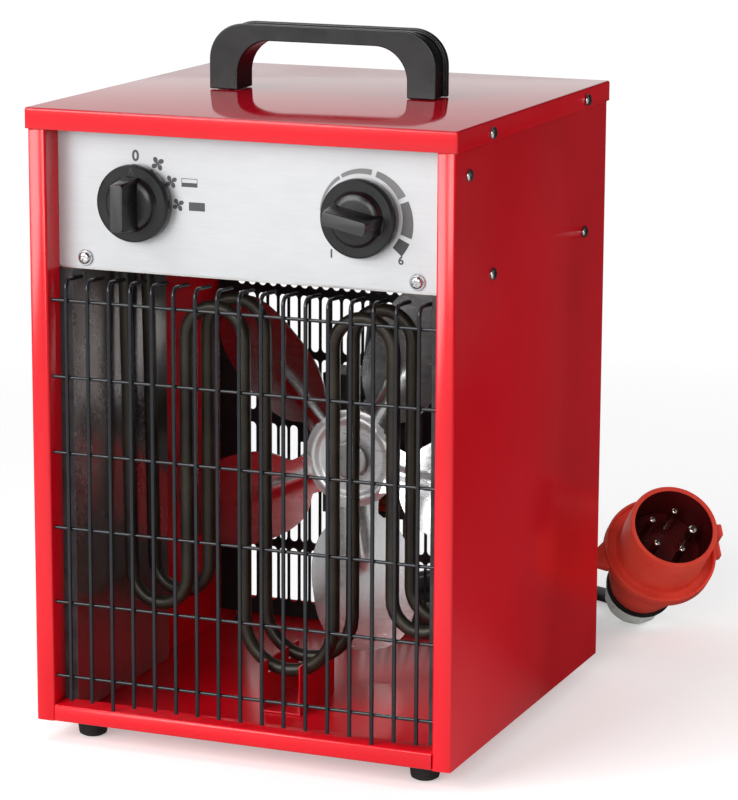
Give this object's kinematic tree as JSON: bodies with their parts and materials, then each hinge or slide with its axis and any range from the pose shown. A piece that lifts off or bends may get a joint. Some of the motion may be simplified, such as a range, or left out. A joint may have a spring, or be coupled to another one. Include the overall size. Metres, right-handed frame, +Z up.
{
  "type": "forced air heater",
  "caption": "Box-shaped electric fan heater with a carrying handle, knobs on a front panel, tube elements and a fan behind a wire grille, and a cord with an industrial plug.",
  "frame": {"origin": "on the floor, under the middle of the heater without its cord and plug", "axes": "+X to the right seen from the front, +Y to the back, +Z up"},
  "size_m": [0.3192, 0.4383, 0.41],
  "materials": {
    "red_paint": "glossy red paint on sheet steel",
    "dark_red_paint": "red paint in the shade of the case",
    "black_paint": "black satin paint on sheet steel",
    "galvanised": "mottled zinc coat, slightly dull",
    "brushed_plate": "light grey plate with a fine grain",
    "black_plastic": "fine-grained black plastic",
    "bright_steel": "bright plated screws",
    "dark_wire": "smooth dark wire with bright highlights",
    "element_steel": "heat-browned sheath steel",
    "aluminium": "bright rolled aluminium sheet",
    "black_rubber": "dull black rubber",
    "motor_steel": "dark varnished laminations and winding",
    "white_plastic": "off-white moulded plastic",
    "copper": "plain copper",
    "cord_rubber": "dark grey rubber sheath",
    "plug_red": "bright red moulded plastic",
    "plug_dark": "dark red moulded plastic",
    "pin_metal": "nickel-bright brass",
    "pale_plastic": "pale greenish-white moulded plastic"
  },
  "bodies": {
    "case": {"case_shell": "red_paint", "top_cover": "red_paint", "rear_grille": "black_paint", "control_shelf": "galvanised", "control_panel": "brushed_plate", "heat_shield_left": "galvanised", "heat_shield_right": "galvanised", "front_grille": "dark_wire", "heating_element_front": "element_steel", "heating_element_rear": "element_steel", "element_bracket": "dark_red_paint", "motor": "motor_steel", "motor_bracket": "black_paint", "selector_switch": "white_plastic", "thermostat_body": "galvanised", "thermostat_bulb": "copper", "terminal_block": "white_plastic", "overheat_cutout": "black_plastic", "handle": "black_plastic", "handle_screw_left": "bright_steel", "handle_screw_right": "bright_steel", "foot_front_left": "black_rubber", "foot_front_right": "black_rubber", "foot_rear_left": "black_rubber", "foot_rear_right": "black_rubber", "panel_screw_left": "bright_steel", "panel_screw_right": "bright_steel", "cable_gland": "black_plastic", "power_cord_lead": "cord_rubber", "power_cord_coil": "cord_rubber", "power_cord_tail": "cord_rubber", "plug_nut": "pale_plastic", "plug_seal": "black_rubber", "plug_body": "plug_red", "plug_shroud": "plug_red", "plug_insert": "plug_dark", "side_screw_left_1": "bright_steel", "side_screw_left_2": "bright_steel", "side_screw_left_3": "bright_steel", "side_screw_left_4": "bright_steel", "side_screw_left_5": "bright_steel", "side_screw_right_1": "bright_steel", "side_screw_right_2": "bright_steel", "side_screw_right_3": "bright_steel", "side_screw_right_4": "bright_steel", "side_screw_right_5": "bright_steel", "plug_pin_1": "pin_metal", "plug_pin_2": "pin_metal", "plug_pin_3": "pin_metal", "plug_pin_4": "pin_metal", "plug_pin_5": "pin_metal"},
    "fan": {"fan_rotor": "aluminium", "fan_clip": "galvanised", "motor_shaft": "bright_steel"},
    "selector": {"selector_knob": "black_plastic", "selector_shaft": "galvanised"},
    "thermostat": {"thermostat_knob": "black_plastic", "thermostat_shaft": "galvanised"}
  },
  "joints": [
    {"name": "selector_turn", "type": "hinge", "parent": "case", "child": "selector", "pos_m": [-0.068, -0.10775, 0.3187], "axis": [0, 1, 0], "range_deg": [0, 90]},
    {"name": "thermostat_turn", "type": "hinge", "parent": "case", "child": "thermostat", "pos_m": [0.068, -0.10775, 0.3187], "axis": [0, 1, 0], "range_deg": [0, 209]},
    {"name": "fan_spin", "type": "hinge", "parent": "case", "child": "fan", "pos_m": [0, 0.04425, 0.14485], "axis": [0, 1, 0], "continuous": true}
  ]
}
